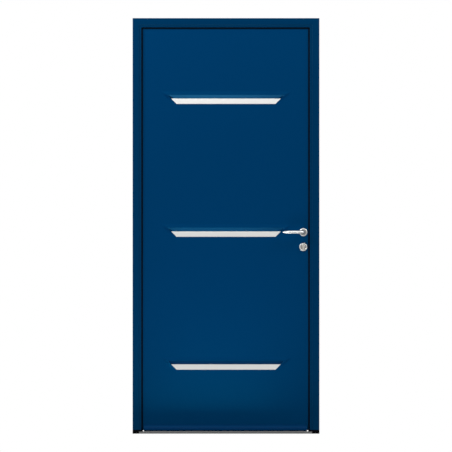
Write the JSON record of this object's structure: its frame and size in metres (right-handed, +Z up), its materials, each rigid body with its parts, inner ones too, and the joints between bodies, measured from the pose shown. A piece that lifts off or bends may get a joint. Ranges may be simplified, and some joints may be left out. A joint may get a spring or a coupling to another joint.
{
  "type": "steel front door",
  "caption": "Blue painted steel entrance door in its frame, with an inward-swinging leaf, scooped stainless inserts, lever handle and threshold.",
  "frame": {"origin": "middle of the threshold's underside, at mid-depth of the frame", "axes": "+Z up, +X from the hinges to the lock, -Y towards the outside, +Y into the house"},
  "size_m": [0.98, 0.164, 2.18],
  "materials": {
    "blue_paint": "satin polyester powder coat",
    "sill_aluminium": "natural anodised",
    "black_plastic": "moulded matt",
    "black_rubber": "matt",
    "hinge_steel": "satin plated",
    "foam_core": "rigid foam",
    "subframe_timber": "planed",
    "insert_stainless": "brushed",
    "cylinder_nickel": "nickel plated",
    "handle_steel": "satin brushed",
    "lock_steel": "zinc plated"
  },
  "bodies": {
    "frame": {"frame_jamb_hinge_side": "blue_paint", "frame_jamb_lock_side": "blue_paint", "frame_head": "blue_paint", "threshold": "sill_aluminium", "foot_hinge_side": "black_plastic", "foot_lock_side": "black_plastic", "gasket_hinge_side": "black_rubber", "gasket_lock_side": "black_rubber", "gasket_head": "black_rubber", "hinge_frame_half_1": "hinge_steel", "hinge_frame_half_2": "hinge_steel", "hinge_frame_half_3": "hinge_steel", "strike_plate_top": "lock_steel", "strike_plate_middle": "lock_steel", "strike_plate_bottom": "lock_steel"},
    "leaf": {"leaf_outer_skin": "blue_paint", "leaf_inner_skin": "blue_paint", "leaf_core": "foam_core", "leaf_hinge_stile": "subframe_timber", "leaf_lock_stile": "subframe_timber", "leaf_top_rail": "subframe_timber", "leaf_bottom_rail": "subframe_timber", "insert_top": "insert_stainless", "insert_middle": "insert_stainless", "insert_bottom": "insert_stainless", "weather_bar": "blue_paint", "bottom_seal": "black_rubber", "hinge_leaf_half_1": "hinge_steel", "hinge_leaf_half_2": "hinge_steel", "hinge_leaf_half_3": "hinge_steel", "lock_faceplate": "lock_steel", "latch_bolt": "lock_steel", "dead_bolt": "lock_steel", "upper_bolt": "lock_steel", "lower_bolt": "lock_steel", "outside_handle_rose": "handle_steel", "inside_handle_rose": "handle_steel", "outside_key_rose": "handle_steel", "inside_key_rose": "handle_steel", "lock_cylinder": "cylinder_nickel"},
    "handle": {"outside_lever": "handle_steel", "inside_lever": "handle_steel", "spindle": "handle_steel"}
  },
  "joints": [
    {"name": "leaf_swing", "type": "hinge", "parent": "frame", "child": "leaf", "pos_m": [-0.454, 0.042, 1.13], "axis": [0, 0, 1], "range_deg": [0, 100]},
    {"name": "handle_turn", "type": "hinge", "parent": "leaf", "child": "handle", "pos_m": [0.406, 0, 1.057], "axis": [0, -1, 0], "range_deg": [0, 40], "stiffness_Nm_per_rad": 1.2, "springref_deg": -28.65}
  ]
}
